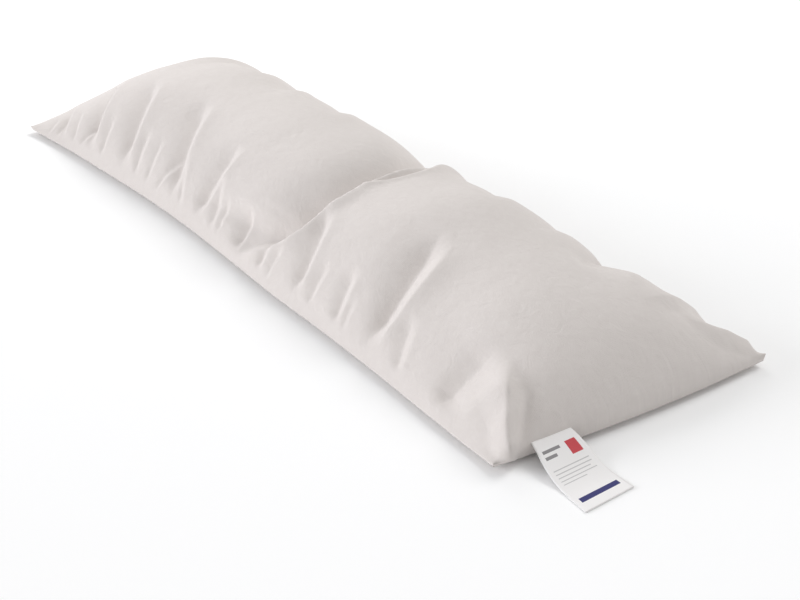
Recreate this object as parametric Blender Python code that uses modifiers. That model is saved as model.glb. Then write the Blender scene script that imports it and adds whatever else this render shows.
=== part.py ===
"""Body pillow: a long fibre-filled pillow lying on its back, with a care label at one end.

The cover is two plain panels sewn together edge to edge. The filling rounds the upper panel
into a crown, draws the long sides in between the corners and gathers the cloth along the
seams into folds. One deep crease crosses the pillow where it was once bent. The lower panel
lies flat. Filled and sewn shut, the pillow is one solid.

X runs along the pillow, Y across it and Z up. The origin is the middle of the flat underside,
on the surface that the pillow lies on. Lengths are in metres.
"""

from collections import namedtuple

import bmesh
import bpy
import numpy as np

# ---- Driving dimensions ----------------------------------------------------------------

HALF_LENGTH = 0.584       # middle to either end, at the corners
END_BULGE = 0.008         # how far the middle of an end stands out past its corners
SEAM_HEIGHT = 0.007       # height of the seam above the surface
TIP_RISE = 0.004          # how much higher the seam is at the two -Y corner tips,
FAR_TIP_RISE = 0.009      # and at the two +Y ones,
TIP_ALONG_POWER = 30      # a rise held close to the tips by high powers along and across
TIP_ACROSS_POWER = 6

SIDE_POWER = 2.55         # crown across the pillow: (1 - |t|^power)^round
SIDE_ROUND = 0.83
NEAR_END_POWER = 8.0      # crown along the pillow, towards the +X end
NEAR_END_ROUND = 0.45
FAR_END_POWER = 5.0       # and towards the -X end
FAR_END_ROUND = 0.42

UNDER_TUCK = 0.010        # the lower panel leaves the seam and turns under
UNDER_TUCK_HEIGHT = 0.0045
FLAT_INSET = 0.030        # the flat underside starts this far in from the seam

LENGTH_CELLS = 150
WIDTH_CELLS = 28
EDGE_PACKING = 0.90       # 0 spreads the rows evenly, 1 packs them against the long sides
SMALL_STEP = 0.001        # for slopes taken by difference

# The pillow's width and height along its length. near and far are the distances from the
# middle line to the -Y and +Y seams, and crown is the height above the seam.
Section = namedtuple("Section", "along near far crown")
SECTIONS = (
    Section(-0.575, 0.191, 0.190, 0.070),
    Section(-0.470, 0.181, 0.181, 0.111),
    Section(-0.355, 0.175, 0.175, 0.125),
    Section(-0.240, 0.170, 0.171, 0.124),
    Section(-0.120, 0.170, 0.171, 0.126),
    Section(0.000, 0.175, 0.174, 0.123),
    Section(0.120, 0.181, 0.178, 0.113),
    Section(0.240, 0.183, 0.181, 0.118),
    Section(0.350, 0.187, 0.184, 0.103),
    Section(0.460, 0.193, 0.188, 0.098),
    Section(0.575, 0.199, 0.192, 0.087),
)

# Folds that run up the upper panel from a seam. Each is a valley with a gentle slope on its
# left and a steep wall on its right, and one with a negative depth is a ridge. foot and head
# are its place along the seam at the bottom and the top, and bow is how far its middle stands
# off the straight line between the two. start and reach are how far from the seam it begins
# and ends.
Fold = namedtuple("Fold", "seam foot head bow start reach depth left right")
FOLDS = (
    Fold("near", -0.416, -0.502, 0.003, 0.010, 0.112, 0.0095, 0.034, 0.014),
    Fold("near", -0.322, -0.397, 0.009, 0.010, 0.114, 0.0115, 0.040, 0.014),
    Fold("near", -0.176, -0.256, 0.000, 0.010, 0.114, 0.0120, 0.042, 0.015),
    Fold("near", -0.114, -0.108, 0.004, 0.010, 0.081, 0.0095, 0.030, 0.013),
    Fold("near", 0.008, -0.006, 0.000, 0.010, 0.037, 0.0065, 0.022, 0.010),
    Fold("near", 0.066, 0.078, 0.000, 0.008, 0.042, 0.0060, 0.015, 0.010),
    Fold("near", 0.157, 0.112, 0.010, 0.010, 0.092, 0.0100, 0.032, 0.012),
    Fold("near", 0.250, 0.236, 0.000, 0.010, 0.049, 0.0065, 0.020, 0.010),
    Fold("near", 0.316, 0.281, 0.014, 0.010, 0.143, 0.0155, 0.040, 0.016),
    Fold("near", 0.386, 0.356, 0.000, 0.010, 0.050, 0.0050, 0.022, 0.012),
    Fold("near", 0.468, 0.486, 0.000, 0.010, 0.077, 0.0115, 0.044, 0.030),
    Fold("near", 0.600, 0.507, 0.000, 0.000, 0.080, -0.0090, 0.040, 0.026),
    Fold("far", -0.430, -0.434, 0.000, 0.020, 0.220, -0.0060, 0.036, 0.036),
    Fold("far", -0.390, -0.330, 0.000, 0.008, 0.120, 0.0040, 0.030, 0.030),
    Fold("far", -0.305, -0.225, 0.000, 0.008, 0.140, 0.0080, 0.034, 0.028),
    Fold("far", -0.190, -0.110, 0.000, 0.008, 0.120, 0.0060, 0.032, 0.028),
    Fold("far", 0.155, 0.230, 0.000, 0.008, 0.120, 0.0040, 0.030, 0.028),
    Fold("far", 0.260, 0.330, 0.000, 0.008, 0.120, 0.0032, 0.030, 0.028),
    Fold("far", 0.336, 0.420, 0.000, 0.008, 0.140, 0.0135, 0.030, 0.042),
    Fold("far", 0.568, 0.535, 0.000, 0.000, 0.080, -0.0085, 0.030, 0.030),
)
FOLD_SHARPNESS = 1.6      # 1 is a knife crease, 2 a soft trough
FOLD_LIP = 0.14           # the cloth stands up past the steep wall by this share of the depth
LIP_PLACE = 2.2           # the lip's middle and half width, in widths of the steep wall
LIP_SPREAD = 1.6
FOLD_RISE = 0.18          # shares of the reach: over how much a fold grows to its depth,
FOLD_FADE_FROM = 0.66     # and where it starts and ends dying away
FOLD_FADE_TO = 1.06
LEFT_AT_FOOT = 0.30       # a fold's slope and wall at the foot, as shares of their full widths
LEFT_FULL_AT = 0.80
RIGHT_AT_FOOT = 0.60

# The deep crease across the whole pillow, from the -Y seam to the +Y seam.
Crease = namedtuple("Crease", "across along depth")
CREASE = (
    Crease(-0.174, 0.008, 0.000),
    Crease(-0.166, 0.020, 0.010),
    Crease(-0.157, 0.039, 0.018),
    Crease(-0.146, 0.064, 0.023),
    Crease(-0.129, 0.085, 0.026),
    Crease(-0.106, 0.093, 0.027),
    Crease(-0.067, 0.099, 0.026),
    Crease(-0.032, 0.096, 0.025),
    Crease(0.005, 0.093, 0.024),
    Crease(0.040, 0.088, 0.024),
    Crease(0.070, 0.080, 0.027),
    Crease(0.108, 0.064, 0.030),
    Crease(0.140, 0.056, 0.030),
    Crease(0.175, 0.050, 0.010),
)
CREASE_SHARPNESS = 1.5
CREASE_LEFT = 0.044
CREASE_RIGHT = 0.019
CREASE_LIP = 0.16
SEAM_HOLD = 0.012         # the seam holds the cloth straight over this distance

# The care label: a strip of woven tape sewn to the +X end just above the seam, which slopes
# down clear of the seam and runs out along the surface. out is measured from the seam. left
# and right are its two edges across the pillow, lift raises the right edge above the left,
# and skew carries the left edge further out than the right.
LABEL_THICKNESS = 0.001
LABEL_ROOT = -0.126       # where across the pillow the label is sewn on
LABEL_LENGTH_CELLS = 20
LABEL_WIDTH_CELLS = 6
LabelStep = namedtuple("LabelStep", "out left right height lift skew")
LABEL_STEPS = (
    LabelStep(-0.0036, -0.1505, -0.1010, 0.0190, 0.0030, -0.0024),
    LabelStep(0.0100, -0.1550, -0.1000, 0.0163, 0.0025, 0.000),
    LabelStep(0.0220, -0.1585, -0.0990, 0.0122, 0.0018, 0.002),
    LabelStep(0.0340, -0.1610, -0.0990, 0.0078, 0.0012, 0.003),
    LabelStep(0.0480, -0.1630, -0.0992, 0.0038, 0.0006, 0.004),
    LabelStep(0.0640, -0.1648, -0.0990, 0.0014, 0.0001, 0.005),
    LabelStep(0.0820, -0.1668, -0.0990, 0.0008, 0.0000, 0.006),
    LabelStep(0.1000, -0.1685, -0.0990, 0.0008, 0.0000, 0.007),
)

COVER_COLOUR = (0.66, 0.63, 0.61, 1.0)
LABEL_COLOUR = (0.86, 0.86, 0.85, 1.0)
CLOTH_ROUGHNESS = 0.85
LABEL_ROUGHNESS = 0.60


# ---- Curves and ramps ------------------------------------------------------------------

def through(rows, at_name, value_name, x):
    """A smooth curve through a table's rows: a cubic between each two, sloped as their neighbours."""
    at = np.array([getattr(row, at_name) for row in rows])
    value = np.array([getattr(row, value_name) for row in rows])
    slope = np.gradient(value, at)
    i = np.clip(np.searchsorted(at, x) - 1, 0, len(at) - 2)
    step = at[i + 1] - at[i]
    u = np.clip((x - at[i]) / step, 0.0, 1.0)
    from_left = (2 * u**3 - 3 * u**2 + 1) * value[i] + (u**3 - 2 * u**2 + u) * step * slope[i]
    from_right = (3 * u**2 - 2 * u**3) * value[i + 1] + (u**3 - u**2) * step * slope[i + 1]
    return from_left + from_right


def section(name, x):
    """One column of the section table at x."""
    return through(SECTIONS, "along", name, x)


def ramp(x, low, high):
    """0 below low, 1 above high and an even ease between them."""
    u = np.clip((x - low) / (high - low), 0.0, 1.0)
    return u * u * (3 - 2 * u)


def trough(offset, left, right, sharpness):
    """A valley's cross-section: 1 on its line, falling to 0 over left on one side, right on the other."""
    width = np.where(offset < 0, left, right)
    return np.exp(-np.abs(offset / width) ** sharpness)


def lip(offset, right):
    """The low swelling of the cloth just past a valley's steep wall."""
    return np.exp(-((offset - LIP_PLACE * right) / (LIP_SPREAD * right)) ** 2)


# ---- The pillow ------------------------------------------------------------------------

def outline(s, t):
    """Plan place of a point: s runs -1 to 1 along the pillow, t -1 to 1 across it."""
    x = (HALF_LENGTH + END_BULGE * (1 - t**2)) * s
    half_width = np.where(t < 0, section("near", x), section("far", x))
    return x, half_width * t


def crown(s, t):
    """Share of the crown's height: a rounded arch across, which falls to the seam at both ends."""
    across = np.clip(1 - np.abs(t) ** SIDE_POWER, 0, 1) ** SIDE_ROUND
    near_end = np.clip(1 - np.abs(s) ** NEAR_END_POWER, 0, 1) ** NEAR_END_ROUND
    far_end = np.clip(1 - np.abs(s) ** FAR_END_POWER, 0, 1) ** FAR_END_ROUND
    return across * np.where(s > 0, near_end, far_end)


def smooth_panel(s, t):
    """The upper panel without its folds."""
    x, y = outline(s, t)
    tip = np.abs(s) ** TIP_ALONG_POWER * np.abs(t) ** TIP_ACROSS_POWER
    seam = SEAM_HEIGHT + np.where(t < 0, TIP_RISE, FAR_TIP_RISE) * tip
    return np.stack([x, y, seam + section("crown", x) * crown(s, t)], axis=-1)


def fold_depth(x, y):
    """How deep the cloth is drawn in at a place, by every fold and by the crease."""
    from_seam = {
        "near": y + section("near", x),
        "far": section("far", x) - y,
    }
    depth = np.zeros_like(x)
    for fold in FOLDS:
        up = np.clip(from_seam[fold.seam] / fold.reach, 0, FOLD_FADE_TO)
        offset = x - (fold.foot + (fold.head - fold.foot) * up + 4 * fold.bow * up * (1 - up))
        start = 0.5 * fold.start / fold.reach
        growing = ramp(up, start, start + FOLD_RISE)
        dying = ramp(up, FOLD_FADE_FROM, FOLD_FADE_TO)
        strength = fold.depth * growing * (1 - dying)
        left = fold.left * (LEFT_AT_FOOT + (1 - LEFT_AT_FOOT) * ramp(up, 0, LEFT_FULL_AT))
        right = fold.right * (RIGHT_AT_FOOT + (1 - RIGHT_AT_FOOT) * up)
        depth += strength * trough(offset, left, right, FOLD_SHARPNESS)
        depth -= strength * FOLD_LIP * lip(offset, right)
    line = through(CREASE, "across", "along", y)
    lean = (through(CREASE, "across", "along", y + SMALL_STEP) - line) / SMALL_STEP
    offset = (x - line) / np.sqrt(1 + lean**2)
    strength = through(CREASE, "across", "depth", y)
    depth += strength * trough(offset, CREASE_LEFT, CREASE_RIGHT, CREASE_SHARPNESS)
    depth -= strength * CREASE_LIP * lip(offset, CREASE_RIGHT)
    hold = np.minimum(from_seam["near"], from_seam["far"])
    hold = np.minimum(hold, HALF_LENGTH + END_BULGE - np.abs(x))
    return depth * ramp(hold, 0, SEAM_HOLD)


def upper_panel(s, t):
    """The upper panel: the smooth form pushed in along its own normal by the folds' depth."""
    place = smooth_panel(s, t)
    along = smooth_panel(s + SMALL_STEP, t) - smooth_panel(s - SMALL_STEP, t)
    across = smooth_panel(s, t + SMALL_STEP) - smooth_panel(s, t - SMALL_STEP)
    normal = np.cross(along, across)
    normal /= np.linalg.norm(normal, axis=-1, keepdims=True)
    place = place - normal * fold_depth(place[..., 0], place[..., 1])[..., None]
    place[..., 2] = np.maximum(place[..., 2], SEAM_HEIGHT)
    return place


def set_places(mesh, places):
    """Move a mesh's points, all at once."""
    for vert, place in zip(mesh.verts, places):
        vert.co = place


def make_pillow():
    """Upper panel from a grid, its rim turned under in two rows, and the flat underside filled in."""
    mesh = bmesh.new()
    bmesh.ops.create_grid(mesh, x_segments=LENGTH_CELLS, y_segments=WIDTH_CELLS, size=1.0)
    rim = [edge for edge in mesh.edges if edge.is_boundary]
    for row in (1, 2):
        made = bmesh.ops.extrude_edge_only(mesh, edges=rim)["geom"]
        for vert in made:
            if isinstance(vert, bmesh.types.BMVert):
                vert.co.z = -row
        rim = [edge for edge in made if isinstance(edge, bmesh.types.BMEdge) and edge.is_boundary]
    bmesh.ops.contextual_create(mesh, geom=rim)
    mesh.verts.ensure_lookup_table()

    grid = np.array([vert.co[:] for vert in mesh.verts])
    s = grid[:, 0]
    t = np.sin(0.5 * np.pi * EDGE_PACKING * grid[:, 1]) / np.sin(0.5 * np.pi * EDGE_PACKING)
    row = grid[:, 2]
    places = upper_panel(s, t)
    for number, inset, height in ((-1, UNDER_TUCK, UNDER_TUCK_HEIGHT), (-2, FLAT_INSET, 0.0)):
        x, y = outline(s, t)
        half_width = np.where(t < 0, section("near", x), section("far", x))
        x, y = outline(s * (1 - inset / HALF_LENGTH), t * (1 - inset / half_width))
        under = np.stack([x, y, np.full_like(x, height)], axis=-1)
        places = np.where((np.round(row) == number)[:, None], under, places)
    set_places(mesh, places)
    bmesh.ops.recalc_face_normals(mesh, faces=mesh.faces)
    return mesh


# ---- The label -------------------------------------------------------------------------

def label_sheet(u, v):
    """Middle of the label's cloth: u runs 0 to 1 from its sewn end, v -1 to 1 across it."""
    first, last = LABEL_STEPS[0].out, LABEL_STEPS[-1].out
    out = first + (last - first) * u

    def at(name):
        return through(LABEL_STEPS, "out", name, out)

    share = 0.5 + 0.5 * v
    seam_x = outline(np.ones(1), np.full(1, LABEL_ROOT / SECTIONS[-1].near))[0][0]
    x = seam_x + out + at("skew") * (0.5 - share)
    y = at("left") + (at("right") - at("left")) * share
    return np.stack([x, y, at("height") + at("lift") * share], axis=-1)


def make_label():
    """A grid laid along the label's route; Solidify gives it its thickness."""
    mesh = bmesh.new()
    bmesh.ops.create_grid(mesh, x_segments=LABEL_LENGTH_CELLS, y_segments=LABEL_WIDTH_CELLS, size=1.0)
    mesh.verts.ensure_lookup_table()
    grid = np.array([vert.co[:] for vert in mesh.verts])
    set_places(mesh, label_sheet(0.5 + 0.5 * grid[:, 0], grid[:, 1]))
    return mesh


# ---- Scene -----------------------------------------------------------------------------

def make_material(name, colour, roughness):
    """A plain woven finish."""
    material = bpy.data.materials.new(name)
    material.use_nodes = True
    shader = material.node_tree.nodes["Principled BSDF"]
    shader.inputs["Base Color"].default_value = colour
    shader.inputs["Roughness"].default_value = roughness
    shader.inputs["Metallic"].default_value = 0.0
    return material


def add_object(name, mesh, material, collection):
    """Put a finished mesh into the collection as one named object."""
    data = bpy.data.meshes.new(name)
    mesh.to_mesh(data)
    mesh.free()
    data.materials.append(material)
    data.shade_smooth()
    made = bpy.data.objects.new(name, data)
    collection.objects.link(made)
    return made


def main():
    for old in list(bpy.data.objects):
        bpy.data.objects.remove(old, do_unlink=True)
    collection = bpy.data.collections.new("body_pillow")
    bpy.context.scene.collection.children.link(collection)

    cover = make_material("cover_cotton", COVER_COLOUR, CLOTH_ROUGHNESS)
    tape = make_material("label_tape", LABEL_COLOUR, LABEL_ROUGHNESS)
    add_object("pillow", make_pillow(), cover, collection)
    label = add_object("label", make_label(), tape, collection)
    thickness = label.modifiers.new("thickness", "SOLIDIFY")
    thickness.thickness = LABEL_THICKNESS
    thickness.offset = 0.0


main()
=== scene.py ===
import math
from collections import namedtuple

import bpy
import numpy as np
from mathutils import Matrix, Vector


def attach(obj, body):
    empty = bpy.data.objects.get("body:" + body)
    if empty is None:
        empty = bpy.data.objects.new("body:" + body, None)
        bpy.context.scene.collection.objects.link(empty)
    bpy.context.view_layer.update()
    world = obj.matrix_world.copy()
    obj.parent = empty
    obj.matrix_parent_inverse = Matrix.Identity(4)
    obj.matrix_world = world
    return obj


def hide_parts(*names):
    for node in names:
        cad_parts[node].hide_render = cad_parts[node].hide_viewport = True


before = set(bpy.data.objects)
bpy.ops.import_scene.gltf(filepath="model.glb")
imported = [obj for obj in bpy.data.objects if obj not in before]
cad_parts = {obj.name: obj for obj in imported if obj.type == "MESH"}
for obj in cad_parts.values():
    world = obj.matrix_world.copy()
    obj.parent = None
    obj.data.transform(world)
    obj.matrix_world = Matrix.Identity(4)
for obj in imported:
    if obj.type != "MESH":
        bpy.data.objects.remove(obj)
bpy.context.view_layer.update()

# ---- The pillow ------------------------------------------------------------------------
# A long body pillow: two plain panels of close-woven cotton, sewn together on all four sides
# and filled with loose fibre. The filling rounds the upper panel, draws the long sides in and
# gathers the cloth above its seams, and a deep crease shows where it was once folded in half.

HALF_LENGTH = 0.584       # middle to either end, at the corners
END_BULGE = 0.008         # how far the middle of an end stands out past its corners
SEAM_HEIGHT = 0.007       # height of the seam above the floor
TIP_RISE = 0.004          # how much higher the seam is at the two near corner tips,
FAR_TIP_RISE = 0.009      # and at the two far ones,
TIP_ALONG_POWER = 30      # a rise held close to the tips by high powers along and across
TIP_ACROSS_POWER = 6
SIDE_POWER = 2.55         # crown across the pillow: (1 - |t|^power)^round
SIDE_ROUND = 0.83
NEAR_END_POWER = 8.0      # crown along it, towards the end with the label
NEAR_END_ROUND = 0.45
FAR_END_POWER = 5.0       # and towards the other end
FAR_END_ROUND = 0.42

COLUMNS = 601             # points along the upper panel and across it
ROWS = 145
EDGE_PACKING = 0.90       # 0 spreads the rows evenly, 1 packs them against the long sides
SMALL_STEP = 0.001        # for slopes taken by difference

# The pillow's width and height along its length. near and far are the distances from the
# middle line to the two long seams, and crown is the height above the seam.
Section = namedtuple("Section", "along near far crown")
SECTIONS = (
    Section(-0.575, 0.191, 0.190, 0.070),
    Section(-0.470, 0.181, 0.181, 0.111),
    Section(-0.355, 0.175, 0.175, 0.125),
    Section(-0.240, 0.170, 0.171, 0.124),
    Section(-0.120, 0.170, 0.171, 0.126),
    Section(0.000, 0.175, 0.174, 0.123),
    Section(0.120, 0.181, 0.178, 0.113),
    Section(0.240, 0.183, 0.181, 0.118),
    Section(0.350, 0.187, 0.184, 0.103),
    Section(0.460, 0.193, 0.188, 0.098),
    Section(0.575, 0.199, 0.192, 0.087),
)

# Each fold is a valley that runs up from a seam, with a gentle slope on its left and a steep
# wall on its right, and one with a negative depth is a ridge. foot and head are its place along
# the seam at the bottom and the top, bow is how far its middle stands off the straight line
# between them, and start and reach are how far from the seam it begins and ends, with its
# depth eased in and out round both.
Fold = namedtuple("Fold", "seam foot head bow start reach depth left right")
FOLDS = (
    Fold("near", -0.535, -0.548, 0.000, 0.006, 0.030, 0.0025, 0.009, 0.008),
    Fold("near", -0.510, -0.528, 0.000, 0.006, 0.035, 0.0030, 0.010, 0.009),
    Fold("near", -0.496, -0.560, 0.000, 0.008, 0.066, 0.0055, 0.018, 0.016),
    Fold("near", -0.462, -0.500, 0.000, 0.010, 0.045, 0.0030, 0.012, 0.010),
    Fold("near", -0.450, -0.425, 0.000, 0.010, 0.040, 0.0035, 0.012, 0.010),
    Fold("near", -0.416, -0.502, 0.003, 0.010, 0.112, 0.0095, 0.034, 0.024),
    Fold("near", -0.381, -0.400, 0.000, 0.010, 0.045, 0.0035, 0.012, 0.012),
    Fold("near", -0.322, -0.397, 0.009, 0.010, 0.114, 0.0115, 0.040, 0.026),
    Fold("near", -0.283, -0.300, 0.000, 0.010, 0.045, 0.0035, 0.011, 0.012),
    Fold("near", -0.250, -0.262, 0.000, 0.010, 0.045, 0.0030, 0.010, 0.011),
    Fold("near", -0.226, -0.204, 0.000, 0.010, 0.038, 0.0035, 0.012, 0.010),
    Fold("near", -0.176, -0.256, 0.000, 0.010, 0.114, 0.0120, 0.042, 0.026),
    Fold("near", -0.150, -0.190, 0.000, 0.010, 0.046, 0.0030, 0.010, 0.012),
    Fold("near", -0.114, -0.108, 0.004, 0.010, 0.081, 0.0100, 0.032, 0.022),
    Fold("near", -0.066, -0.088, 0.000, 0.010, 0.044, 0.0050, 0.016, 0.016),
    Fold("near", -0.046, -0.054, 0.000, 0.010, 0.033, 0.0030, 0.010, 0.009),
    Fold("near", 0.008, -0.006, 0.000, 0.010, 0.037, 0.0070, 0.022, 0.013),
    Fold("near", 0.066, 0.078, 0.000, 0.008, 0.042, 0.0060, 0.015, 0.013),
    Fold("near", 0.092, 0.100, 0.000, 0.008, 0.030, 0.0025, 0.009, 0.008),
    Fold("near", 0.157, 0.112, 0.010, 0.010, 0.092, 0.0100, 0.032, 0.020),
    Fold("near", 0.191, 0.190, 0.000, 0.010, 0.040, 0.0042, 0.014, 0.012),
    Fold("near", 0.250, 0.236, 0.000, 0.010, 0.049, 0.0065, 0.020, 0.016),
    Fold("near", 0.270, 0.264, 0.000, 0.010, 0.030, 0.0022, 0.010, 0.010),
    Fold("near", 0.316, 0.281, 0.014, 0.010, 0.143, 0.0155, 0.040, 0.028),
    Fold("near", 0.386, 0.356, 0.000, 0.010, 0.050, 0.0048, 0.022, 0.018),
    Fold("near", 0.468, 0.486, 0.000, 0.010, 0.079, 0.0125, 0.060, 0.052),
    Fold("near", 0.606, 0.507, 0.000, 0.000, 0.080, -0.0135, 0.044, 0.030),
    Fold("end", -0.182, -0.132, 0.000, 0.004, 0.048, -0.0060, 0.020, 0.010),
    Fold("far", -0.430, -0.434, 0.000, 0.020, 0.220, -0.0060, 0.036, 0.036),
    Fold("far", -0.390, -0.330, 0.000, 0.008, 0.120, 0.0040, 0.030, 0.030),
    Fold("far", -0.305, -0.225, 0.000, 0.008, 0.140, 0.0080, 0.034, 0.028),
    Fold("far", -0.190, -0.110, 0.000, 0.008, 0.120, 0.0060, 0.032, 0.028),
    Fold("far", 0.155, 0.230, 0.000, 0.008, 0.120, 0.0040, 0.030, 0.028),
    Fold("far", 0.260, 0.330, 0.000, 0.008, 0.120, 0.0032, 0.030, 0.028),
    Fold("far", 0.336, 0.420, 0.000, 0.008, 0.140, 0.0135, 0.028, 0.072),
    Fold("far", 0.490, 0.503, 0.000, 0.010, 0.120, -0.0055, 0.024, 0.024),
    Fold("far", 0.524, 0.544, 0.000, 0.006, 0.070, 0.0040, 0.024, 0.020),
    Fold("far", 0.568, 0.535, 0.000, 0.000, 0.080, -0.0085, 0.030, 0.030),
)
SLOPE_SHARPNESS = 1.35    # of the gentle side: 1 comes to a sharp bottom, 2 to a round one
WALL_SHARPNESS = 1.20     # of the steep side: 1 is a straight wall with a crisp top edge
FOLD_LIP = 0.13           # the cloth stands up past the steep wall by this share of the depth
LIP_PLACE = 1.0           # the lip's middle and half width, in widths of the steep wall
LIP_SPREAD = 0.60
FOLD_EARLY = 0.5          # a fold begins to grow at this share of its start
FOLD_RISE = 0.18          # shares of the reach: over how much a fold grows to its depth,
FOLD_FADE_FROM = 0.66     # and where it starts and ends dying away
FOLD_FADE_TO = 1.06
LEFT_AT_FOOT = 0.30       # a fold's slope and wall at the foot, as shares of their full widths
LEFT_FULL_AT = 0.80
RIGHT_AT_FOOT = 0.75

# The deep crease from one long seam to the other, and the pocket beside it where the cloth
# rides up double.
Crease = namedtuple("Crease", "across along depth left right")
CREASE = (
    Crease(-0.174, 0.012, 0.000, 0.014, 0.010),
    Crease(-0.166, 0.026, 0.010, 0.020, 0.011),
    Crease(-0.157, 0.046, 0.018, 0.030, 0.012),
    Crease(-0.146, 0.072, 0.024, 0.038, 0.013),
    Crease(-0.129, 0.093, 0.027, 0.044, 0.014),
    Crease(-0.106, 0.100, 0.028, 0.044, 0.014),
    Crease(-0.067, 0.108, 0.027, 0.036, 0.014),
    Crease(-0.032, 0.103, 0.025, 0.030, 0.013),
    Crease(0.005, 0.100, 0.023, 0.028, 0.012),
    Crease(0.040, 0.095, 0.023, 0.030, 0.012),
    Crease(0.070, 0.086, 0.027, 0.040, 0.013),
    Crease(0.108, 0.070, 0.031, 0.050, 0.014),
    Crease(0.140, 0.062, 0.030, 0.050, 0.014),
    Crease(0.175, 0.055, 0.010, 0.030, 0.014),
)
POCKET = (
    Crease(-0.050, 0.112, 0.0000, 0.006, 0.005),
    Crease(-0.032, 0.117, 0.0040, 0.006, 0.006),
    Crease(-0.011, 0.121, 0.0080, 0.007, 0.007),
    Crease(0.020, 0.121, 0.0095, 0.008, 0.007),
    Crease(0.063, 0.106, 0.0090, 0.010, 0.008),
    Crease(0.100, 0.082, 0.0040, 0.010, 0.008),
    Crease(0.130, 0.068, 0.0000, 0.010, 0.008),
)
CREASE_LIP = 0.17         # as a fold's lip, but broader
CREASE_LIP_SPREAD = 0.9
SEAM_HOLD = 0.012         # the seam holds the cloth straight over this distance


def through(rows, at_name, value_name, x):
    """Smooth curve through a table's rows: a cubic between each two, sloped as their neighbours."""
    at = np.array([getattr(row, at_name) for row in rows])
    value = np.array([getattr(row, value_name) for row in rows])
    slope = np.gradient(value, at)
    i = np.clip(np.searchsorted(at, x) - 1, 0, len(at) - 2)
    step = at[i + 1] - at[i]
    u = np.clip((x - at[i]) / step, 0.0, 1.0)
    from_left = (2 * u**3 - 3 * u**2 + 1) * value[i] + (u**3 - 2 * u**2 + u) * step * slope[i]
    from_right = (3 * u**2 - 2 * u**3) * value[i + 1] + (u**3 - u**2) * step * slope[i + 1]
    return from_left + from_right


def section(name, x):
    """One column of the section table at x."""
    return through(SECTIONS, "along", name, x)


def ramp(x, low, high):
    """0 below low, 1 above high and 3u^2 - 2u^3 between them."""
    u = np.clip((x - low) / (high - low), 0.0, 1.0)
    return u * u * (3 - 2 * u)


def trough(offset, left, right):
    """A valley's cross-section, 1 on its line: exp(-(d / left)^sharpness) down the gentle side,
    and (1 - d / right)^sharpness up the steep one.
    """
    slope = np.exp(-np.abs(offset / left) ** SLOPE_SHARPNESS)
    wall = np.clip(1 - offset / right, 0, 1) ** WALL_SHARPNESS
    return np.where(offset < 0, slope, wall)


def lip(offset, right, spread):
    """The low swelling of the cloth past a valley's steep wall: a bell curve beside it."""
    return np.exp(-((offset - LIP_PLACE * right) / (spread * right)) ** 2)


LATTICE = 96              # cells each way in the lattice of random heights


def rolling(x, y, pitch, seed):
    """Smooth random heights from -1 to 1: seeded values on a lattice, eased from each to the next."""
    values = np.random.default_rng(seed).uniform(-1, 1, (LATTICE + 1, LATTICE + 1))
    middle = (LATTICE + 1) / 2
    column, row = x / pitch + middle, y / pitch + middle
    i, j = np.floor(column).astype(int) % LATTICE, np.floor(row).astype(int) % LATTICE
    u, v = column - np.floor(column), row - np.floor(row)
    u, v = u * u * (3 - 2 * u), v * v * (3 - 2 * v)
    low = values[i, j] * (1 - u) + values[i + 1, j] * u
    high = values[i, j + 1] * (1 - u) + values[i + 1, j + 1] * u
    return low * (1 - v) + high * v


def outline(s, t):
    """Plan place of a point: s runs -1 to 1 along the pillow, t -1 to 1 across it."""
    x = (HALF_LENGTH + END_BULGE * (1 - t**2)) * s
    half_width = np.where(t < 0, section("near", x), section("far", x))
    return x, half_width * t


def crown(s, t):
    """Share of the crown's height: a rounded arch across, which falls to the seam at both ends."""
    across = np.clip(1 - np.abs(t) ** SIDE_POWER, 0, 1) ** SIDE_ROUND
    near_end = np.clip(1 - np.abs(s) ** NEAR_END_POWER, 0, 1) ** NEAR_END_ROUND
    far_end = np.clip(1 - np.abs(s) ** FAR_END_POWER, 0, 1) ** FAR_END_ROUND
    return across * np.where(s > 0, near_end, far_end)


def smooth_panel(s, t):
    """The upper panel without folds: its outline, raised by the seam's height plus the crown."""
    x, y = outline(s, t)
    tip = np.abs(s) ** TIP_ALONG_POWER * np.abs(t) ** TIP_ACROSS_POWER
    seam = SEAM_HEIGHT + np.where(t < 0, TIP_RISE, FAR_TIP_RISE) * tip
    return np.stack([x, y, seam + section("crown", x) * crown(s, t)], axis=-1)


def from_seams(x, y):
    """Distances in plan from the two long seams and the end seam beside the label."""
    return {
        "near": y + section("near", x),
        "far": section("far", x) - y,
        "end": HALF_LENGTH + END_BULGE - x,
    }


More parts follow.
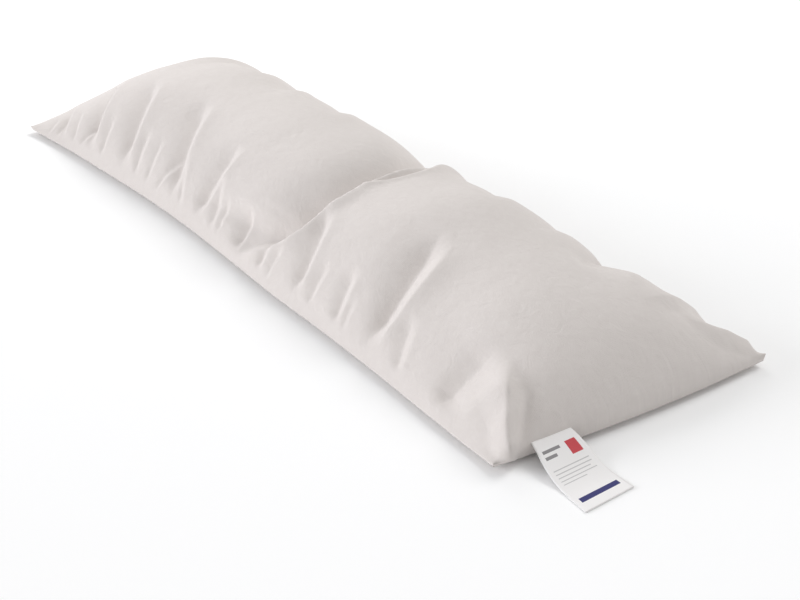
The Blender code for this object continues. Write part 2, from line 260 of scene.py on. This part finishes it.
def fold_depth(x, y):
    """How deep the cloth is drawn in: the sum of every fold's trough less its lip, and the crease's."""
    away = from_seams(x, y)
    depth = np.zeros_like(x)
    for fold in FOLDS:
        up = np.clip(away[fold.seam] / fold.reach, 0, FOLD_FADE_TO)
        place = y if fold.seam == "end" else x
        line = fold.foot + (fold.head - fold.foot) * up + 4 * fold.bow * up * (1 - up)
        offset = place - line
        start = FOLD_EARLY * fold.start / fold.reach
        growing = ramp(up, start, start + FOLD_RISE)
        dying = ramp(up, FOLD_FADE_FROM, FOLD_FADE_TO)
        strength = fold.depth * growing * (1 - dying)
        left = fold.left * (LEFT_AT_FOOT + (1 - LEFT_AT_FOOT) * ramp(up, 0, LEFT_FULL_AT))
        right = fold.right * (RIGHT_AT_FOOT + (1 - RIGHT_AT_FOOT) * up)
        depth += strength * trough(offset, left, right)
        depth -= strength * FOLD_LIP * lip(offset, right, LIP_SPREAD)
    for rows in (CREASE, POCKET):
        line = through(rows, "across", "along", y)
        lean = (through(rows, "across", "along", y + SMALL_STEP) - line) / SMALL_STEP
        offset = (x - line) / np.sqrt(1 + lean**2)
        strength = through(rows, "across", "depth", y)
        left = through(rows, "across", "left", y)
        right = through(rows, "across", "right", y)
        depth += strength * trough(offset, left, right)
        depth -= strength * CREASE_LIP * lip(offset, right, CREASE_LIP_SPREAD)
    hold = np.minimum(away["near"], away["far"])
    return depth * ramp(np.minimum(hold, away["end"]), 0, SEAM_HOLD)


ROLL_DEPTH = 0.0012       # slow unevenness of the filling
ROLL_PITCH = 0.070
RIPPLE_DEPTH = 0.0003     # and of the cloth
RIPPLE_PITCH = 0.022
UNEVEN_HOLD = 0.04        # both fade out over this distance from the seams


def unevenness(x, y):
    """Low swells and ripples all over: two sizes of smooth random heights, faded out at the seams."""
    away = from_seams(x, y)
    hold = np.minimum(np.minimum(away["near"], away["far"]), HALF_LENGTH - np.abs(x))
    swell = ROLL_DEPTH * rolling(x, y, ROLL_PITCH, seed=3)
    ripple = RIPPLE_DEPTH * rolling(x, y, RIPPLE_PITCH, seed=5)
    return (swell + ripple) * ramp(hold, 0, UNEVEN_HOLD)


def upper_panel(s, t):
    """The upper panel: the smooth form pushed in along its own normal by folds and unevenness."""
    place = smooth_panel(s, t)
    along = smooth_panel(s + SMALL_STEP, t) - smooth_panel(s - SMALL_STEP, t)
    across = smooth_panel(s, t + SMALL_STEP) - smooth_panel(s, t - SMALL_STEP)
    normal = np.cross(along, across)
    normal /= np.linalg.norm(normal, axis=-1, keepdims=True)
    x, y = place[..., 0], place[..., 1]
    place = place - normal * (fold_depth(x, y) + unevenness(x, y))[..., None]
    place[..., 2] = np.maximum(place[..., 2], SEAM_HEIGHT)
    return place


# The lower panel leaves the seam, turns under and lies flat: inset from the seam and height.
UNDER_ROWS = (
    (0.0015, 0.0064), (0.0080, 0.0050), (0.0160, 0.0028), (0.0230, 0.0010), (0.0300, 0.0),
)


# The cloth is let settle under the filling's push, held at its seams: it swells a little
# between its folds, and they ease and draw together.
SETTLE_EVERY = (4, 3)     # one point in so many, along and across, is simulated
SETTLE_FRAMES = 20
SETTLE_PUSH = 4.0
SETTLE_STIFFNESS = 12.0   # against bending
SETTLE_CAP = 0.003        # how far a point may move


def finer(values, count, times):
    """Rows filled in between the given ones: a cubic between each two, sloped as their neighbours."""
    slope = np.gradient(values, axis=0)
    place = np.arange(count) / times
    i = np.minimum(place.astype(int), len(values) - 2)
    u = (place - i)[:, None, None]
    start = (2 * u**3 - 3 * u**2 + 1) * values[i] + (u**3 - 2 * u**2 + u) * slope[i]
    return start + (3 * u**2 - 2 * u**3) * values[i + 1] + (u**3 - u**2) * slope[i + 1]


def grid_quads(number):
    """The faces of a grid of numbered points: four corners each."""
    corners = [number[:-1, :-1], number[1:, :-1], number[1:, 1:], number[:-1, 1:]]
    return np.stack(corners, -1).reshape(-1, 4)


def settled(top):
    """The upper panel after a short cloth simulation: each point moves as the simulated ones
    round it do, up to the cap.
    """
    along, across = SETTLE_EVERY
    before = top[::along, ::across]
    number = np.arange(before[..., 0].size).reshape(before.shape[:2])
    mesh = bpy.data.meshes.new("settling")
    mesh.from_pydata(before.reshape(-1, 3), [], grid_quads(number).tolist())
    panel = bpy.data.objects.new("settling", mesh)
    bpy.context.scene.collection.objects.link(panel)
    seam = panel.vertex_groups.new(name="seam")
    rim = np.concatenate([number[0], number[-1], number[:, 0], number[:, -1]])
    seam.add(rim.tolist(), 1.0, "REPLACE")
    cloth = panel.modifiers.new("cloth", "CLOTH")
    cloth.settings.vertex_group_mass = seam.name
    cloth.settings.effector_weights.gravity = 0.0
    cloth.settings.use_pressure = True
    cloth.settings.uniform_pressure_force = SETTLE_PUSH
    cloth.settings.bending_stiffness = SETTLE_STIFFNESS
    cloth.point_cache.frame_start = 1
    cloth.point_cache.frame_end = SETTLE_FRAMES
    for moment in range(1, SETTLE_FRAMES + 1):
        bpy.context.scene.frame_set(moment)
    result = panel.evaluated_get(bpy.context.evaluated_depsgraph_get()).to_mesh()
    after = np.zeros(before.size)
    result.vertices.foreach_get("co", after)
    bpy.data.objects.remove(panel)
    bpy.context.scene.frame_set(1)
    move = after.reshape(before.shape) - before
    length = np.linalg.norm(move, axis=-1, keepdims=True)
    move *= np.minimum(1, SETTLE_CAP / np.maximum(length, SMALL_STEP * SETTLE_CAP))
    move = finer(move, top.shape[0], along)
    return top + finer(move.swapaxes(0, 1), top.shape[1], across).swapaxes(0, 1)


def row_packing(n):
    """n values from -1 to 1 across the panel, closer together towards the long seams."""
    even = np.linspace(-1, 1, n)
    return np.sin(0.5 * np.pi * EDGE_PACKING * even) / np.sin(0.5 * np.pi * EDGE_PACKING)


def cloth_mesh(name, places, faces, cloth):
    """A smooth mesh that also keeps each point's place on the cloth, as its UV map."""
    mesh = bpy.data.meshes.new(name)
    mesh.from_pydata(places, [], faces)
    uv = mesh.uv_layers.new(name="cloth")
    loop_point = np.zeros(len(mesh.loops), dtype=np.int32)
    mesh.loops.foreach_get("vertex_index", loop_point)
    uv.data.foreach_set("uv", cloth[loop_point].ravel())
    mesh.shade_smooth()
    return mesh


def pillow_mesh(name):
    """Upper panel on a grid, its rim turned under in rows, and one flat face closing the underside.

    Each point also gets its place on the cloth: x along the pillow, and the length of cloth
    across it, added up from the middle line.
    """
    s, t = np.meshgrid(np.linspace(-1, 1, COLUMNS), row_packing(ROWS), indexing="ij")
    top = settled(upper_panel(s, t))
    step = np.linalg.norm(np.diff(top, axis=1), axis=-1)
    cloth_y = np.concatenate([np.zeros((COLUMNS, 1)), np.cumsum(step, axis=1)], axis=1)
    cloth_y -= cloth_y[:, ROWS // 2 : ROWS // 2 + 1]
    number = np.arange(COLUMNS * ROWS).reshape(COLUMNS, ROWS)
    quads = [grid_quads(number)]
    rim = np.concatenate([number[:-1, 0], number[-1, :-1], number[:0:-1, -1], number[0, :0:-1]])
    rim_s, rim_t = s.ravel()[rim], t.ravel()[rim]
    rim_x, rim_y = outline(rim_s, rim_t)
    half_width = np.where(rim_t < 0, section("near", rim_x), section("far", rim_x))
    places, cloth = [top.reshape(-1, 3)], [np.stack([top[..., 0], cloth_y], -1).reshape(-1, 2)]
    above = rim
    for inset, height in UNDER_ROWS:
        x, y = outline(rim_s * (1 - inset / HALF_LENGTH), rim_t * (1 - inset / half_width))
        below = len(np.concatenate(places)) + np.arange(len(rim))
        quads.append(np.stack([above, below, np.roll(below, -1), np.roll(above, -1)], -1))
        places.append(np.stack([x, y, np.full_like(x, height)], -1))
        cloth.append(np.stack([x, y], -1))
        above = below
    places, cloth = np.concatenate(places), np.concatenate(cloth)
    faces = np.concatenate(quads).tolist() + [above[::-1].tolist()]
    return cloth_mesh(name, places, faces, cloth)


def piece(mesh, material):
    """A finished mesh as an object of the same name, with its material."""
    made = bpy.data.objects.new(mesh.name, mesh)
    bpy.context.scene.collection.objects.link(made)
    mesh.materials.append(material)
    return made


def linear(hex_code):
    """An sRGB hex colour as linear RGBA: (c + 0.055) / 1.055 to the power 2.4, or c / 12.92 near black."""
    c = np.array([int(hex_code[i:i + 2], 16) for i in (1, 3, 5)]) / 255
    c = np.where(c > 0.04045, ((c + 0.055) / 1.055) ** 2.4, c / 12.92)
    return (*c.tolist(), 1.0)


def node(material, kind, settings=(), links=()):
    """Add one node: settings name its own values or its inputs, and links give inputs their sources."""
    made = material.node_tree.nodes.new(kind)
    for name, value in dict(settings).items():
        if isinstance(name, int) or name in made.inputs:
            made.inputs[name].default_value = value
        else:
            setattr(made, name, value)
    for name, source in dict(links).items():
        material.node_tree.links.new(made.inputs[name], source)
    return made


def cloth_material(name, roughness, sheen):
    """A Principled material for a matt woven cloth. Returns the material and its shader."""
    material = bpy.data.materials.new(name)
    material.use_nodes = True
    shader = material.node_tree.nodes["Principled BSDF"]
    shader.inputs["Roughness"].default_value = roughness
    shader.inputs["Sheen Weight"].default_value = sheen
    shader.inputs["Sheen Roughness"].default_value = 0.6
    shader.inputs["Specular IOR Level"].default_value = 0.25
    return material, shader


# Unbleached cotton cambric, woven: a matt warm off-white with a soft bloom. Its threads are
# 0.4 mm apart, too fine to show, so they are drawn 1.8 mm apart.
THREAD_MM = 1.8
WAVES_PER_UNIT = 20 / (2 * math.pi)    # a Wave texture at scale 1 turns 20 radians a unit
CAMBRIC_LIGHT = "#DBD5D1"
CAMBRIC_DARK = "#D3CCC8"

cambric, shader = cloth_material("woven_cotton_cambric", roughness=0.92, sheen=0.10)
cloth_place = node(cambric, "ShaderNodeTexCoord").outputs["UV"]
thread_scale = 1000 / THREAD_MM / WAVES_PER_UNIT
warp, weft = (
    node(
        cambric,
        "ShaderNodeTexWave",
        {"bands_direction": direction, "Scale": thread_scale, "Distortion": 0.6},
        {"Vector": cloth_place},
    )
    for direction in "XY"
)
weave = node(
    cambric,
    "ShaderNodeMath",
    {"operation": "ADD"},
    {0: warp.outputs["Fac"], 1: weft.outputs["Fac"]},
)
crinkle = node(
    cambric,
    "ShaderNodeTexNoise",
    {"Scale": 48.0, "Detail": 3.0, "Roughness": 0.55, "Distortion": 1.4},
    {"Vector": cloth_place},
)
mottle = node(
    cambric,
    "ShaderNodeTexNoise",
    {"Scale": 90.0, "Detail": 4.0, "Roughness": 0.65},
    {"Vector": cloth_place},
)
tint = node(
    cambric,
    "ShaderNodeMixRGB",
    {"Color1": linear(CAMBRIC_DARK), "Color2": linear(CAMBRIC_LIGHT)},
    {"Fac": mottle.outputs["Fac"]},
)
cambric.node_tree.links.new(shader.inputs["Base Color"], tint.outputs["Color"])
crinkle_bump = node(
    cambric,
    "ShaderNodeBump",
    {"Strength": 0.55, "Distance": 0.0016},
    {"Height": crinkle.outputs["Fac"]},
)
weave_bump = node(
    cambric,
    "ShaderNodeBump",
    {"Strength": 0.25, "Distance": 0.0002},
    {"Height": weave.outputs["Value"], "Normal": crinkle_bump.outputs["Normal"]},
)
cambric.node_tree.links.new(shader.inputs["Normal"], weave_bump.outputs["Normal"])

pillow = piece(pillow_mesh("pillow_cover"), cambric)
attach(pillow, "root")
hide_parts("pillow")

# ---- The care label --------------------------------------------------------------------
# A strip of stiff white woven tape, folded double, sewn to the end of the pillow just above
# its seam. It slopes down clear of the seam and runs out along the floor.

LABEL_THICKNESS = 0.0010
LABEL_ROOT = -0.126       # where across the pillow the label is sewn on
LABEL_COLUMNS = 61        # points from its sewn end to its free end, and across it
LABEL_ROWS = 25

# The tape's course. out is how far past the seam, left and right are its edges across the
# pillow, height is its left edge's above the floor, lift is how much higher its right edge is,
# and skew is how much further out its left edge is.
LabelStep = namedtuple("LabelStep", "out left right height lift skew")
LABEL_STEPS = (
    LabelStep(-0.0036, -0.1505, -0.1010, 0.0190, 0.0030, -0.0024),
    LabelStep(0.0100, -0.1550, -0.1000, 0.0163, 0.0025, 0.000),
    LabelStep(0.0220, -0.1585, -0.0990, 0.0122, 0.0018, 0.002),
    LabelStep(0.0340, -0.1610, -0.0990, 0.0078, 0.0012, 0.003),
    LabelStep(0.0480, -0.1630, -0.0992, 0.0038, 0.0006, 0.004),
    LabelStep(0.0640, -0.1648, -0.0990, 0.0014, 0.0001, 0.005),
    LabelStep(0.0820, -0.1668, -0.0990, 0.0008, 0.0000, 0.006),
    LabelStep(0.1000, -0.1685, -0.0990, 0.0008, 0.0000, 0.007),
)


def label_sheet(u, v):
    """Middle of the tape: u runs 0 to 1 from its sewn end, v 0 to 1 from its left edge to its right.

    The step table gives the left edge, the right edge and the height at a distance out from
    the seam, and v shares each between the two edges.
    """
    first, last = LABEL_STEPS[0].out, LABEL_STEPS[-1].out
    out = first + (last - first) * u

    def at(name):
        return through(LABEL_STEPS, "out", name, out)

    seam_x = outline(np.ones(1), np.full(1, LABEL_ROOT / SECTIONS[-1].near))[0][0]
    x = seam_x + out + at("skew") * (0.5 - v)
    y = at("left") + (at("right") - at("left")) * v
    return np.stack([x, y, at("height") + at("lift") * v], axis=-1)


def label_mesh(name):
    """The tape on a grid. Each point's place on the cloth is (v, u), from 0 to 1 both ways."""
    u, v = np.meshgrid(np.linspace(0, 1, LABEL_COLUMNS), np.linspace(0, 1, LABEL_ROWS), indexing="ij")
    number = np.arange(u.size).reshape(u.shape)
    cloth = np.stack([v.ravel(), u.ravel()], -1)
    return cloth_mesh(name, label_sheet(u, v).reshape(-1, 3), grid_quads(number).tolist(), cloth)


# Bleached polyester satin tape, woven and printed: a smooth cool white with a faint gloss.
# The print is a generic layout of plain blocks and rules, with no words or signs.
TAPE_WHITE = "#F1EFEE"
RULE_GREY = "#8C8A8B"
PALE_GREY = "#C6C4C4"
BLOCK_RED = "#C8434B"
BAND_NAVY = "#33346E"

# left and right are shares of the tape's width, and the other two of its length from its root.
Block = namedtuple("Block", "left right from_root to_root colour")
LABEL_PRINT = (
    Block(0.10, 0.50, 0.150, 0.185, RULE_GREY),
    Block(0.10, 0.36, 0.220, 0.255, RULE_GREY),
    Block(0.64, 0.88, 0.140, 0.300, BLOCK_RED),
    Block(0.10, 0.88, 0.380, 0.392, PALE_GREY),
    Block(0.10, 0.88, 0.425, 0.437, PALE_GREY),
    Block(0.10, 0.80, 0.470, 0.482, PALE_GREY),
    Block(0.10, 0.88, 0.515, 0.527, PALE_GREY),
    Block(0.10, 0.60, 0.560, 0.572, PALE_GREY),
    Block(0.10, 0.90, 0.800, 0.870, BAND_NAVY),
)

TAPE_THREADS = 100        # drawn along its length

tape, shader = cloth_material("woven_satin_tape", roughness=0.55, sheen=0.0)
tape_place = node(tape, "ShaderNodeTexCoord").outputs["UV"]
tape_axes = node(tape, "ShaderNodeSeparateXYZ", links={"Vector": tape_place})


def between(source, low, high):
    """1 where the source lies between low and high, and 0 elsewhere."""
    return node(
        tape,
        "ShaderNodeMath",
        {"operation": "COMPARE", 1: (low + high) / 2, 2: (high - low) / 2},
        {0: source},
    ).outputs["Value"]


printed = None
for block in LABEL_PRINT:
    inside = node(
        tape,
        "ShaderNodeMath",
        {"operation": "MULTIPLY"},
        {
            0: between(tape_axes.outputs["X"], block.left, block.right),
            1: between(tape_axes.outputs["Y"], block.from_root, block.to_root),
        },
    )
    links = {"Fac": inside.outputs["Value"]}
    if printed:
        links["Color1"] = printed.outputs["Color"]
    printed = node(
        tape,
        "ShaderNodeMixRGB",
        {"Color1": linear(TAPE_WHITE), "Color2": linear(block.colour)},
        links,
    )
tape.node_tree.links.new(shader.inputs["Base Color"], printed.outputs["Color"])
tape_threads = node(
    tape,
    "ShaderNodeTexWave",
    {"bands_direction": "Y", "Scale": TAPE_THREADS / WAVES_PER_UNIT, "Distortion": 0.4},
    {"Vector": tape_place},
)
tape_bump = node(
    tape,
    "ShaderNodeBump",
    {"Strength": 0.12, "Distance": 0.0001},
    {"Height": tape_threads.outputs["Fac"]},
)
tape.node_tree.links.new(shader.inputs["Normal"], tape_bump.outputs["Normal"])

label = piece(label_mesh("care_label"), tape)
thickness = label.modifiers.new("thickness", "SOLIDIFY")
thickness.thickness = LABEL_THICKNESS
thickness.offset = 0.0
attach(label, "root")
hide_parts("label")

# ---- The studio ------------------------------------------------------------------------
# A plain white floor under soft light from all round. A broad low lamp brightens the near
# side, and a higher one beyond the pillow lays its soft shadow on this side of it. Both leave
# the end with the label in gentle shade. A weak lamp stands past the other end.

FLOOR_HALF = 40.0
FLOOR_DROP = 0.0003       # keeps the floor's face clear of the pillow's flat underside
FLOOR_WHITE = "#FFFFFF"
SKY_STRENGTH = 0.56
LAMP_SPREAD = 32          # how broad a lamp looks from the pillow, in degrees
Lamp = namedtuple("Lamp", "name azimuth elevation strength colour")
LAMPS = (
    Lamp("near_lamp", 325, 13, 2.00, "#F9FAFF"),
    Lamp("far_lamp", 190, 45, 1.02, "#FFFFFF"),
)
SIDE_LAMP_PLACE = (-1.3, 0.9, 1.2)
SIDE_LAMP_AIM = (0.0, 0.0, 0.05)
SIDE_LAMP_SIDE = 1.0
SIDE_LAMP_WATTS = 8.0

corners = [(-1, -1), (1, -1), (1, 1), (-1, 1)]
floor_corners = [(FLOOR_HALF * x, FLOOR_HALF * y, -FLOOR_DROP) for x, y in corners]
floor_mesh = bpy.data.meshes.new("floor")
floor_mesh.from_pydata(floor_corners, [], [(0, 1, 2, 3)])
floor_paint = bpy.data.materials.new("matt_floor_paint")
floor_paint.use_nodes = True
paint = floor_paint.node_tree.nodes["Principled BSDF"]
paint.inputs["Base Color"].default_value = linear(FLOOR_WHITE)
paint.inputs["Roughness"].default_value = 1.0
paint.inputs["Specular IOR Level"].default_value = 0.0
piece(floor_mesh, floor_paint)

sky = bpy.data.worlds.new("studio")
sky.use_nodes = True
sky.node_tree.nodes["Background"].inputs["Color"].default_value = (1.0, 1.0, 1.0, 1.0)
sky.node_tree.nodes["Background"].inputs["Strength"].default_value = SKY_STRENGTH
bpy.context.scene.world = sky


def light(name, kind, place, aim, strength):
    """A lamp of one kind that stands at a place and faces its aim."""
    data = bpy.data.lights.new(name, kind)
    data.energy = strength
    lamp = bpy.data.objects.new(name, data)
    bpy.context.scene.collection.objects.link(lamp)
    lamp.location = place
    lamp.rotation_euler = (Vector(aim) - Vector(place)).to_track_quat("-Z", "Y").to_euler()
    lamp.visible_camera = False
    return data


for lamp in LAMPS:
    azimuth, elevation = math.radians(lamp.azimuth), math.radians(lamp.elevation)
    level = math.cos(elevation)
    place = (math.sin(azimuth) * level, -math.cos(azimuth) * level, math.sin(elevation))
    far_away = light(lamp.name, "SUN", place, (0.0, 0.0, 0.0), lamp.strength)
    far_away.angle = math.radians(LAMP_SPREAD)
    far_away.color = linear(lamp.colour)[:3]
light("side_lamp", "AREA", SIDE_LAMP_PLACE, SIDE_LAMP_AIM, SIDE_LAMP_WATTS).size = SIDE_LAMP_SIDE

bpy.context.scene.view_settings.view_transform = "Standard"

# ---- The camera ------------------------------------------------------------------------
# It stands off the near corner and looks down along the pillow.

CAMERA_PLACE = (1.674, -1.077, 0.9037)
CAMERA_AZIMUTH = math.radians(55.022)
CAMERA_ELEVATION = math.radians(26.832)
LENS_MM = 73.3
SENSOR_MM = 36.0          # width of its picture

camera_data = bpy.data.cameras.new("camera")
camera_data.sensor_width = SENSOR_MM
camera_data.lens = LENS_MM
camera = bpy.data.objects.new("camera", camera_data)
bpy.context.scene.collection.objects.link(camera)
camera.location = CAMERA_PLACE
camera.rotation_euler = (math.pi / 2 - CAMERA_ELEVATION, 0.0, CAMERA_AZIMUTH)
bpy.context.scene.camera = camera
